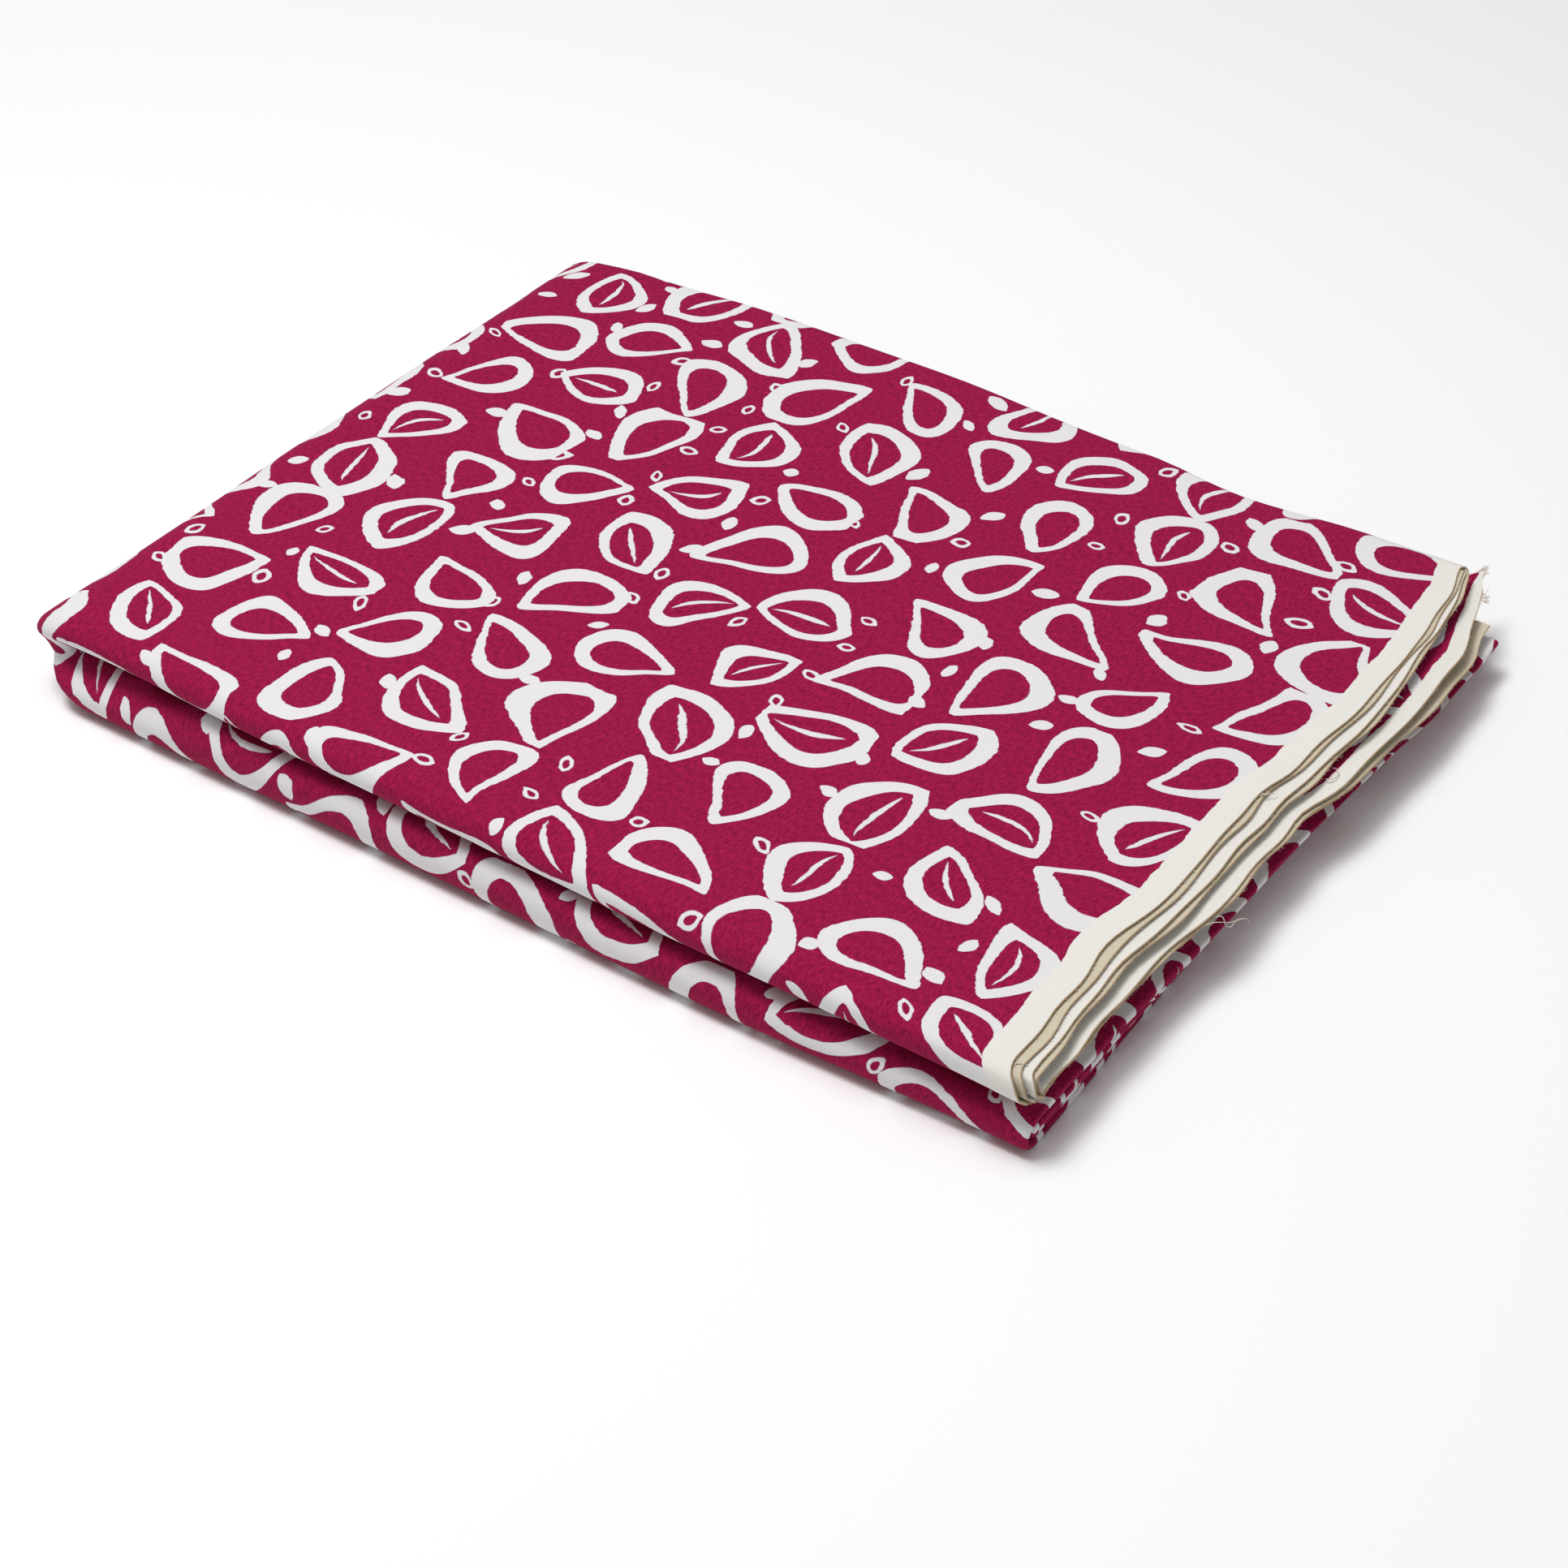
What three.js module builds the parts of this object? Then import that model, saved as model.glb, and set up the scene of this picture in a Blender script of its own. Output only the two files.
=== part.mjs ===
// Printed cotton cloth, folded to a flat bundle of sixteen plies. Millimetres, +Z up.
//
// The cloth is doubled selvage to selvage with the print outside, halved twice along its
// length, and halved once more across. That last fold lies at the left (-X). The front
// (-Y) shows the folds along the length, and the right (+X) shows the selvages of the
// upper half over the folded edges of the lower half. Plies count from 1 at the top to 16
// on the surface that the bundle lies on.

import * as THREE from 'three';

// The cloth as cut, and its folded section.
const clothWidth = 1518;
const clothLength = 1186;
const sheetThickness = 1.2;
const plyPitch = 1.9;
const halvesPitch = 2.6;

// Where the bundle ends before it settles, and how its middle is brought to the origin.
const selvageX = 184;
const backY = 142.5;
const originShift = new THREE.Vector3(-8.28, 0.66, 0);

// Facets: stations along each straight run, as shares of it, and steps round each turn.
const weftStations = [0, 0.05, 0.16, 0.45, 0.8];
const warpStations = [0, 0.1, 0.2, 0.3, 0.4, 0.5, 0.6, 0.7, 0.8, 0.9];
const doublingSteps = 4;
const crossSteps = 7;
const lengthSteps = 6;
const samePlace = 1e-6;

// How far each selvage edge stands out past the top one, at the front, middle and back.
const selvageEdges = [
  { ply: 1, front: 0, middle: 0, back: 0 },
  { ply: 2, front: 1.5, middle: 1.2, back: 1 },
  { ply: 3, front: 3, middle: 2.2, back: 1.5 },
  { ply: 4, front: 7, middle: 4.1, back: 2 },
  { ply: 5, front: 9.5, middle: 10.5, back: 9.5 },
  { ply: 6, front: 8.5, middle: 9.8, back: 9.5 },
  { ply: 7, front: 7.5, middle: 9.2, back: 9 },
  { ply: 8, front: 6.5, middle: 8.6, back: 8.5 },
];

// The same for the folded edges of the lower half, named by the upper of their two plies.
const foldedEdges = [
  { ply: 9, front: 8, middle: 10.5, back: 17.5 },
  { ply: 11, front: 8, middle: 8.5, back: 12 },
  { ply: 13, front: 7, middle: 6, back: 8 },
  { ply: 15, front: 7, middle: 4, back: 5 },
];

// How far each raw end stands out past the back fold, at the right, middle and left.
const rawEnds = [
  { ply: 5, right: 5, middle: 0.5, left: -2 },
  { ply: 6, right: -1, middle: -0.5, left: -2 },
  { ply: 7, right: -5, middle: -1.5, left: -1 },
  { ply: 8, right: -6, middle: -2, left: -1 },
  { ply: 9, right: -8, middle: -1, left: -1 },
  { ply: 10, right: -8, middle: 0, left: -2 },
  { ply: 11, right: -4, middle: 1, left: -2 },
  { ply: 12, right: -4, middle: 1.5, left: -3 },
];

// The wavering line of the top selvage, and of the fold along the back.
const selvageLine = [
  { y: -150, x: 181.5 },
  { y: -90, x: 179.3 },
  { y: -55, x: 185.6 },
  { y: 5, x: 185.6 },
  { y: 75, x: 190.2 },
  { y: 115, x: 187.5 },
  { y: 145, x: 183.5 },
];
const backLine = [
  { x: -185, y: 139 },
  { x: -100, y: 143.8 },
  { x: -20, y: 144.6 },
  { x: 65, y: 141.5 },
  { x: 105, y: 137.3 },
  { x: 150, y: 140.5 },
  { x: 200, y: 142 },
];

// How the bundle settles: its height at each end, and the groove between its two halves.
const settledEnds = { left: -185, right: 190 };
const bundleHeights = { left: 34, right: 30.4 };
const grooveHeights = { left: 21.3, right: 14.3 };
const grooveFall = 2.5;
const grooveKnee = 4;

// The lower half draws in under the left fold, and the upper half sits back at the front.
const leftLean = { amount: 6, from: -60 };
const setback = { left: 4, right: 2, from: -40, blend: 3 };
const cornerTuck = { amount: 3, from: 90, to: 195 };
const waveReach = { selvage: 40, back: 40, lowerShare: 0.15 };
const softWaves = { share: 0.015, lengthX: 41, lengthY: 55 };

// The corner of the last two folds stands out in a nose and is pinched in below it, and
// the innermost loop of the upper half gapes at the right front corner.
const nose = { x: -186, y: -140, z: 27, outward: 4.5, reach: 24, height: 7 };
const pinch = { x: -186, y: -147, z: 20.5, inward: 6, reach: 13, height: 4.5 };
const mouth = { x: 195, y: -135, open: 2, reach: 60, height: 2, fade: 3 };

// Each turn's centre above the ply that it starts from, and its length round the outer ply.
const halfPitch = plyPitch / 2;
const eighthPly = 7 * plyPitch;
const doublingTurn = { centre: halfPitch, length: Math.PI * halfPitch };
const firstLengthTurn = { centre: 3 * halfPitch, length: Math.PI * 3 * halfPitch };
const secondLengthTurn = { centre: 7 * halfPitch, length: Math.PI * 7 * halfPitch };
const crossTurn = { centre: -halvesPitch / 2, length: Math.PI * (eighthPly + halvesPitch / 2) };

// Heights before settling: ply 8, the middle of the groove, the top, and between plies 4 and 5.
const upperBase = eighthPly + halvesPitch + sheetThickness / 2;
const grooveMiddle = upperBase - halvesPitch / 2;
const flatHeight = 2 * grooveMiddle;
const mouthHeight = upperBase + eighthPly / 2;

// The straight runs between the turns, along the weft and along the warp.
const weftRun = (clothWidth - doublingTurn.length - 2 * crossTurn.length) / 4;
const warpRun = (clothLength - firstLengthTurn.length - 2 * secondLengthTurn.length) / 4;
const weftStarts = runStarts(weftRun, [crossTurn, doublingTurn, crossTurn]);
const warpStarts = runStarts(warpRun, [secondLengthTurn, firstLengthTurn, secondLengthTurn]);

const { smoothstep, lerp, clamp, inverseLerp } = THREE.MathUtils;

// The four plies of the tables that an edge of the cloth passes through, in its own order.
const alongWarp = { starts: warpStarts, run: warpRun, first: 'back', last: 'front' };
const alongWeft = { starts: weftStarts, run: weftRun, first: 'right', last: 'left' };
const outerSelvageKnots = knotsThrough(selvageEdges, [8, 1, 4, 5], alongWarp);
const innerSelvageKnots = knotsThrough(selvageEdges, [7, 2, 3, 6], alongWarp);
const foldedEdgeKnots = knotsThrough(foldedEdges, [9, 15, 13, 11], alongWarp);
const firstEndKnots = knotsThrough(rawEnds, [8, 9, 10, 7], alongWeft);
const lastEndKnots = knotsThrough(rawEnds, [5, 12, 11, 6], alongWeft);
const selvageKnots = selvageLine.map((row) => ({ place: row.y, value: row.x - selvageX }));
const backKnots = backLine.map((row) => ({ place: row.x, value: row.y - backY }));

/** Where each of four straight runs starts, with a turn after each of the first three. */
function runStarts(run, turns) {
  const starts = [0];
  turns.forEach((turn, i) => starts.push(starts[i] + run + turn.length));
  return starts;
}

/** Knots along the cloth for a table of edges, whose plies it passes through there and back. */
function knotsThrough(table, plies, { starts, run, first, last }) {
  return plies.flatMap((ply, panel) => {
    const row = table.find((edge) => edge.ply === ply);
    const [near, far] = panel % 2 === 0 ? [row[first], row[last]] : [row[last], row[first]];
    return [
      { place: starts[panel], value: near },
      { place: starts[panel] + run / 2, value: row.middle },
      { place: starts[panel] + run, value: far },
    ];
  });
}

/** Value at a place on a line of knots, eased from each knot to the next. */
function eased(knots, place) {
  let i = 0;
  while (i < knots.length - 2 && place > knots[i + 1].place) i += 1;
  const share = smoothstep(place, knots[i].place, knots[i + 1].place);
  return lerp(knots[i].value, knots[i + 1].value, share);
}

/** Turns what lies past `start` half a circle about the turn's centre, and runs it back. */
function turnBack(along, height, start, turn) {
  const past = along - start;
  if (past <= 0) return [along, height];
  const radius = turn.centre - height;
  if (past >= turn.length) return [start + turn.length - past, turn.centre + radius];
  const angle = Math.PI * past / turn.length;
  return [start + Math.abs(radius) * Math.sin(angle), turn.centre - radius * Math.cos(angle)];
}

/** Slides the selvage out by `edge` and the folded middle by `folded`, but not the turn between. */
function slideAlongWeft(fromSelvage, edge, folded) {
  if (fromSelvage < weftRun) return fromSelvage - edge * (1 - fromSelvage / weftRun);
  const past = Math.max(0, fromSelvage - weftStarts[1]);
  return fromSelvage + folded * Math.min(1, past / weftRun);
}

/** Slides each raw end out, less and less over the run next to it. */
function slideAlongWarp(u, v) {
  const fromLast = clothLength - v;
  if (v < warpRun) return v - eased(firstEndKnots, u) * (1 - v / warpRun);
  if (fromLast < warpRun) return v + eased(lastEndKnots, u) * (1 - fromLast / warpRun);
  return v;
}

/** A point of the flat cloth once folded: u along the weft, v the warp, `off` from its middle. */
function folded(u, v, off) {
  const outer = u < clothWidth / 2;
  const foldedEdge = eased(foldedEdgeKnots, v);
  const selvageEdge = eased(outer ? outerSelvageKnots : innerSelvageKnots, v);
  const fromSelvage = slideAlongWeft(outer ? u : clothWidth - u, selvageEdge, foldedEdge);
  const weft = outer ? fromSelvage : clothWidth + 2 * foldedEdge - fromSelvage;
  const doublingStart = weftStarts[1] + weftRun + foldedEdge;
  const [doubled, two] = turnBack(weft, off, doublingStart, doublingTurn);
  const [halved, four] = turnBack(slideAlongWarp(u, v), two, warpStarts[1] + warpRun, firstLengthTurn);
  const [quartered, eight] = turnBack(halved, four, warpRun, secondLengthTurn);
  const [across, sixteen] = turnBack(doubled, eight, weftRun, crossTurn);
  return new THREE.Vector3(selvageX - across, backY - quartered, upperBase + sixteen);
}

/** One at a spot, falling away over its reach to the sides and its height up and down. */
function nearness({ x, y, z }, spot) {
  const aside = ((x - spot.x) ** 2 + (y - spot.y) ** 2) / spot.reach ** 2;
  return Math.exp(-aside - ((z - spot.z) / spot.height) ** 2);
}

/** Opens the innermost loop of the upper half: heights move away from the middle of its gap. */
function openMouth(point) {
  const fade = nearness(point, { ...mouth, z: mouthHeight, height: mouth.height * mouth.fade });
  return mouth.open * fade * (point.z - mouthHeight) / mouth.height;
}

/** Height once settled: the two halves are scaled apart about the groove between them. */
function settledHeight(x, z) {
  const fromLeft = clamp(inverseLerp(settledEnds.left, settledEnds.right, x), 0, 1);
  const height = lerp(bundleHeights.left, bundleHeights.right, fromLeft);
  const groove = lerp(grooveHeights.left, grooveHeights.right, fromLeft ** grooveFall);
  const lowScale = groove / grooveMiddle;
  const highScale = (height - groove) / (flatHeight - grooveMiddle);
  const knee = (at) => (at - grooveMiddle + Math.hypot(at - grooveMiddle, grooveKnee)) / 2;
  return [lowScale * z + (highScale - lowScale) * (knee(z) - knee(0)), height, groove];
}

/** Settles a folded point as the real bundle lies, without letting plies cross. */
function settled(point) {
  const lifted = point.z + openMouth(point);
  const [level, height, groove] = settledHeight(point.x, lifted);
  const { x, y } = point;
  const wave = 1 + softWaves.share * Math.sin(x / softWaves.lengthX) * Math.cos(y / softWaves.lengthY);
  const z = level * wave;

  const leftShare = 1 - smoothstep(x, settledEnds.left, leftLean.from);
  const selvageShare = smoothstep(x, waveReach.selvage, selvageX);
  const lean = leftLean.amount * leftShare * (1 - z / height);
  const upperShare = smoothstep(z, groove - setback.blend, groove + setback.blend);
  const selvageWave = selvageShare * lerp(waveReach.lowerShare, 1, upperShare) * eased(selvageKnots, y);
  const moved = new THREE.Vector3(x + lean + selvageWave, y, z);

  const setbackHere = lerp(setback.right, setback.left, leftShare);
  const frontShare = 1 - smoothstep(y, -backY, setback.from);
  const backShare = smoothstep(y, waveReach.back, backY);
  const tuck = cornerTuck.amount * smoothstep(x, cornerTuck.from, cornerTuck.to) * (1 - upperShare);
  moved.y += frontShare * (setbackHere * upperShare + tuck) + backShare * eased(backKnots, x);

  const push = pinch.inward * nearness(moved, pinch) * Math.SQRT1_2;
  const pull = nose.outward * nearness(moved, nose);
  return moved.add(new THREE.Vector3(push - pull, push, 0)).add(originShift);
}

/** Places of the grid lines along one direction of the cloth. */
function gridLines(starts, run, stations, turns, size) {
  const lines = starts.flatMap((start, i) => {
    const straight = stations.map((share) => start + run * (i % 2 === 0 ? share : 1 - share));
    straight.sort((a, b) => a - b);
    if (i % 2 === 0) straight.push(start + run);
    if (i === starts.length - 1) return straight;
    const { length, steps } = turns[i];
    const from = start + run;
    const round = Array.from({ length: steps }, (_, k) => from + length * (k + 1) / steps);
    return straight.concat(round);
  });
  const ordered = [...lines, size].sort((a, b) => a - b);
  return ordered.filter((place, i) => i === 0 || place - ordered[i - 1] > samePlace);
}

/** The cloth as one closed sheet: a face each side of its middle, and a rim round its edge. */
function clothGeometry() {
  const across = { ...crossTurn, steps: crossSteps };
  const doubling = { ...doublingTurn, steps: doublingSteps };
  const first = { ...firstLengthTurn, steps: lengthSteps };
  const second = { ...secondLengthTurn, steps: lengthSteps };
  const weftLines = gridLines(weftStarts, weftRun, weftStations, [across, doubling, across], clothWidth);
  const warpLines = gridLines(warpStarts, warpRun, warpStations, [second, first, second], clothLength);

  const columns = weftLines.length;
  const rows = warpLines.length;
  const positions = [];
  for (const off of [sheetThickness / 2, -sheetThickness / 2]) {
    for (const v of warpLines) {
      for (const u of weftLines) positions.push(...settled(folded(u, v, off)).toArray());
    }
  }

  const index = [];
  const quad = (a, b, c, d) => index.push(a, b, c, a, c, d);
  const under = columns * rows;
  const at = (i, j) => j * columns + i;
  for (let j = 0; j < rows - 1; j += 1) {
    for (let i = 0; i < columns - 1; i += 1) {
      quad(at(i, j), at(i + 1, j), at(i + 1, j + 1), at(i, j + 1));
      quad(under + at(i, j + 1), under + at(i + 1, j + 1), under + at(i + 1, j), under + at(i, j));
    }
  }
  const rim = (a, b) => quad(a, b, under + b, under + a);
  for (let i = 0; i < columns - 1; i += 1) {
    rim(at(i + 1, 0), at(i, 0));
    rim(at(i, rows - 1), at(i + 1, rows - 1));
  }
  for (let j = 0; j < rows - 1; j += 1) {
    rim(at(0, j), at(0, j + 1));
    rim(at(columns - 1, j + 1), at(columns - 1, j));
  }

  const geometry = new THREE.BufferGeometry();
  geometry.setAttribute('position', new THREE.Float32BufferAttribute(positions, 3));
  geometry.setIndex(index);
  geometry.computeVertexNormals();
  return geometry;
}

const printedCotton = new THREE.MeshStandardMaterial({ color: 0x951e47, roughness: 0.9, metalness: 0 });
const cloth = new THREE.Mesh(clothGeometry(), printedCotton);
cloth.name = 'cloth';

const bundle = new THREE.Group();
bundle.add(cloth);

export default bundle;
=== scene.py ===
# %% [markdown]
# # A cut of printed cotton, folded to a flat bundle
# The object is one rectangle of cloth: doubled selvage to selvage with its print outside,
# halved twice along its length, and halved once more across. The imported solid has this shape
# with a thick, smooth sheet. This script keeps that fold, and gives it a thinner sheet with the
# ripples, print, weave, selvages and loose yarns of real cotton.

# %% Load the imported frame
import math

import bpy
import numpy as np
from mathutils import Matrix, Vector


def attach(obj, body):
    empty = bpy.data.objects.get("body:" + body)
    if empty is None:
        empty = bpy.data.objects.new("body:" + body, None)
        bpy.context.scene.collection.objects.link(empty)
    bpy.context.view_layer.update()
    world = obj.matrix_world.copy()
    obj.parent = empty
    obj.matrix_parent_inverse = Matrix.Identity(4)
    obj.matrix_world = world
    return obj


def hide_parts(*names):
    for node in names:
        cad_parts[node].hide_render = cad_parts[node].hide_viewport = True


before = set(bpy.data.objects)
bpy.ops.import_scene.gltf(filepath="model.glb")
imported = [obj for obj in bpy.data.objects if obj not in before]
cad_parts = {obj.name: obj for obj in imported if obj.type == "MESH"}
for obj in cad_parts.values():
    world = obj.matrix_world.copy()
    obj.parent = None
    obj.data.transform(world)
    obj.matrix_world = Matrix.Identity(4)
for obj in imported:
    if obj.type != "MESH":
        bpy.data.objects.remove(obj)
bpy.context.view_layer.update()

# %% [markdown]
# ## Camera
# The photograph looks down on the bundle from its front right corner, through a fairly long
# lens. A camera is a place, three axes and a focal length. The axes are worked out from the
# way the camera faces round the object (azimuth), how far it looks down (elevation) and a
# slight roll.

# %% Camera
camera_place = Vector((0.48150, -0.68167, 0.62063))
azimuth, elevation, roll = (math.radians(angle) for angle in (35.06, 38.61, -0.31))
focal_pixels, picture_pixels, sensor_width = 3876.5, 1932, 36.0

back = Vector((
    math.sin(azimuth) * math.cos(elevation),
    -math.cos(azimuth) * math.cos(elevation),
    math.sin(elevation),
))
level_right = Vector((math.cos(azimuth), math.sin(azimuth), 0))
level_up = back.cross(level_right)
right = level_right * math.cos(roll) + level_up * math.sin(roll)
up = level_up * math.cos(roll) - level_right * math.sin(roll)

camera_data = bpy.data.cameras.new("camera")
camera_data.sensor_width = sensor_width
camera_data.lens = sensor_width * focal_pixels / picture_pixels
camera_data.clip_start, camera_data.clip_end = 0.05, 50
camera = bpy.data.objects.new("camera", camera_data)
bpy.context.collection.objects.link(camera)
camera_axes = Matrix((right, up, back)).transposed().to_4x4()
camera.matrix_world = Matrix.Translation(camera_place) @ camera_axes
bpy.context.scene.camera = camera
print("lens", round(camera_data.lens, 2), "mm")

# %% [markdown]
# ## The fold
# Folding is a chain of half turns. Each one takes what lies past a line, carries it half a
# circle about an axis above or below the cloth, and lays it back over the rest. A sheet that
# goes through such a chain can't cut through itself, because each turn only bends the space
# that the sheet lies in. It is worked out in millimetres, from the flat cloth's two
# directions: u along the weft, from selvage to selvage, and v along the warp.

# %% Sizes of the cloth and of its turns
cloth_width, cloth_length = 1518.0, 1186.0
sheet = 0.56
pitch = 1.9
halves_pitch = 2.6
selvage_x, back_y = 184.0, 142.5
origin_shift = (-8.28, 0.66)

eighth_ply = 7 * pitch
doubling = {"centre": pitch / 2, "length": math.pi * pitch / 2}
first_length = {"centre": 3 * pitch / 2, "length": math.pi * 3 * pitch / 2}
second_length = {"centre": 7 * pitch / 2, "length": math.pi * 7 * pitch / 2}
across_turn = {"centre": -halves_pitch / 2, "length": math.pi * (eighth_ply + halves_pitch / 2)}

upper_base = eighth_ply + halves_pitch + sheet / 2
groove_middle = upper_base - halves_pitch / 2
flat_height = 2 * groove_middle

weft_run = (cloth_width - doubling["length"] - 2 * across_turn["length"]) / 4
warp_run = (cloth_length - first_length["length"] - 2 * second_length["length"]) / 4


def run_starts(run, turns):
    """Where each of four straight runs starts, with a turn after each of the first three."""
    return np.cumsum([0.0] + [run + turn["length"] for turn in turns])


weft_starts = run_starts(weft_run, [across_turn, doubling, across_turn])
warp_starts = run_starts(warp_run, [second_length, first_length, second_length])
print("straight runs", round(weft_run, 1), "mm of weft and", round(warp_run, 1), "mm of warp")

# %% [markdown]
# ## Uneven edges
# Nobody folds a cloth exactly. Each selvage, folded edge and raw end stands out a little more
# or less than the one above it. Short tables say by how much, at three places along the edge,
# and a smooth curve runs from each place to the next.

# %% How far each edge stands out
selvage_edges = {  # ply: at the front, middle and back
    1: (0, 0, 0), 2: (3, 1.2, 1), 3: (5.6, 5.4, 2.1), 4: (6.8, 6.7, 2.9),
    5: (9.5, 11.5, 12.5), 6: (9.3, 12.4, 14.5), 7: (8.4, 11.6, 13.5), 8: (7.5, 10.8, 12.5),
}
folded_edges = {  # upper ply of the pair: at the front, middle and back
    9: (8, 11.5, 17.5), 11: (8, 9, 12), 13: (7, 6, 8), 15: (7, 4, 5),
}
raw_ends = {  # ply: at the right, middle and left
    5: (3, 0.5, -2), 6: (-8, -0.5, -2), 7: (-9, -1.5, -1), 8: (-10, -2, -1),
    9: (-8, -1, -1), 10: (-8, 0, -2), 11: (-4, 1, -2), 12: (-4, 1.5, -3),
}
selvage_line = [  # y, and x of the top selvage there
    (-150, 185), (-115, 184.7), (-90, 182.2), (-50, 186.1), (-15, 184.7),
    (32, 189), (83, 191.2), (115, 187.9), (145, 184.5),
]
back_line = [  # x, and y of the back fold there
    (-185, 135.5), (-150, 140.5), (-100, 143.8), (-20, 144.6),
    (65, 141.5), (105, 137.3), (150, 140.5), (200, 142),
]
torn_corner = {  # of ply 5: its tail, and how far its selvage is drawn in beside it
    "out": 10, "at": 4.5, "width": 2.6, "reach": 12, "in": 5.5, "taper": 20,
}
edge_waver = 0.32


def smooth(place, low, high):
    """Smoothstep: 3s^2 - 2s^3 of the share s of the way from low to high, held at both ends."""
    s = np.clip((place - low) / (high - low), 0, 1)
    return s * s * (3 - 2 * s)


def eased(knots, place):
    """Value on a line of (place, value) knots, by a smoothstep from each knot to the next."""
    places, values = np.array(knots, float).T
    i = np.clip(np.searchsorted(places, place) - 1, 0, len(places) - 2)
    return values[i] + (values[i + 1] - values[i]) * smooth(place, places[i], places[i + 1])


def knots_through(table, plies, starts, run, back_first):
    """Knots of an edge that passes through four plies of a table, there and back in turn."""
    knots = []
    for panel, ply in enumerate(plies):
        row = table[ply][::-1] if back_first == (panel % 2 == 0) else table[ply]
        knots += [(starts[panel] + run * share, row[i]) for i, share in enumerate((0, 0.5, 1))]
    return knots


outer_selvage = knots_through(selvage_edges, (8, 1, 4, 5), warp_starts, warp_run, True)
inner_selvage = knots_through(selvage_edges, (7, 2, 3, 6), warp_starts, warp_run, True)
folded_edge_line = knots_through(folded_edges, (9, 15, 13, 11), warp_starts, warp_run, True)
first_end = knots_through(raw_ends, (8, 9, 10, 7), weft_starts, weft_run, False)
last_end = knots_through(raw_ends, (5, 12, 11, 6), weft_starts, weft_run, False)
print("knots on the folded edges:", len(folded_edge_line))

# %% [markdown]
# ## Fold the flat cloth
# The whole grid of points is folded at once: the functions take arrays of u, v and the height
# off the middle of the sheet, and return arrays of places.

# %% Fold
def turn_back(along, height, start, turn):
    """What is past `start` goes round a half circle about the turn's centre, and runs back.

    With r = centre - height and t from 0 to pi along the turn, the place is
    start + |r| sin t, centre - r cos t, and beyond the turn it runs back from `start`.
    """
    past = along - start
    radius = turn["centre"] - height
    angle = np.pi * np.clip(past / turn["length"], 0, 1)
    beyond = np.maximum(past - turn["length"], 0)
    turned = start + np.abs(radius) * np.sin(angle) - beyond
    lifted = turn["centre"] - radius * np.cos(angle)
    return np.where(past <= 0, along, turned), np.where(past <= 0, height, lifted)


def slide_weft(from_selvage, edge, folded):
    """Slides the selvage out by `edge` and the folded middle by `folded`, not the turn between."""
    out = from_selvage - edge * (1 - from_selvage / weft_run)
    past = np.clip((from_selvage - weft_starts[1]) / weft_run, 0, 1)
    return np.where(from_selvage < weft_run, out, from_selvage + folded * past)


def slide_warp(u, v):
    """Slides each raw end out, fading over the run next to it, and pulls out a torn tail."""
    near = np.clip(1 - v / warp_run, 0, 1)
    far = np.clip(1 - (cloth_length - v) / warp_run, 0, 1)
    to_end = np.maximum(cloth_length - v, 0) / torn_corner["reach"]
    aside = (u - torn_corner["at"]) / torn_corner["width"]
    tail = torn_corner["out"] * np.exp(-(aside**2) - to_end)
    return v - eased(first_end, u) * near + eased(last_end, u) * far + tail


def fold(u, v, off):
    """Place of a point of the flat cloth after the doubling, two lengthwise and one cross fold."""
    outer = u < cloth_width / 2
    folded_edge = eased(folded_edge_line, v)
    selvage_edge = np.where(outer, eased(outer_selvage, v), eased(inner_selvage, v))
    short_wave, long_wave = np.sin(v / 6.1 + 2 * outer), np.sin(v / 10.7 + outer)
    selvage_edge = selvage_edge + edge_waver * (short_wave + long_wave)
    narrowed = torn_corner["in"] * np.exp(-np.maximum(cloth_length - v, 0) / torn_corner["taper"])
    selvage_edge = selvage_edge - np.where(outer, narrowed, 0)
    from_selvage = slide_weft(np.where(outer, u, cloth_width - u), selvage_edge, folded_edge)
    weft = np.where(outer, from_selvage, cloth_width + 2 * folded_edge - from_selvage)
    doubled, two = turn_back(weft, off, weft_starts[1] + weft_run + folded_edge, doubling)
    halved, four = turn_back(slide_warp(u, v), two, warp_starts[1] + warp_run, first_length)
    quartered, eight = turn_back(halved, four, warp_run, second_length)
    across, sixteen = turn_back(doubled, eight, weft_run, across_turn)
    return selvage_x - across, back_y - quartered, upper_base + sixteen


middle_of_cloth = np.array([cloth_width / 2]), np.array([cloth_length / 2]), np.zeros(1)
print("the middle of the cloth goes to", np.concatenate(fold(*middle_of_cloth)).round(1), "mm")

# %% [markdown]
# ## Let the bundle settle
# A folded bundle isn't a stack of flat boards. At the selvages the upper plies lie in two
# close groups with a gape between them, the folded edges below puff up in pairs, and the
# halves lean and taper. At the left front corner the upper half droops over a hollow mouth.
# These moves are gentle enough to keep the points in their order, so the plies don't cross.

# %% Spacing of the plies at the right
upper_spacing = {  # heights of plies 8 to 1 in pitches, at the front, middle and back
    -140: (1.8, 2.2, 2.65, 3.3, 5.5, 6.0, 6.5, 7.0),
    -20: (2.5, 2.9, 3.3, 3.75, 5.1, 5.75, 6.45, 7.0),
    135: (0.2, 0.6, 1.1, 3.5, 5.9, 6.3, 6.65, 7.0),
}
lower_spacing = (0, 1.25, 1.93, 3.2, 3.9, 5.15, 5.85, 7.1)  # plies 16 to 9
ply_half = 0.16
spacing_from, spacing_to = 70, 180


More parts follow.
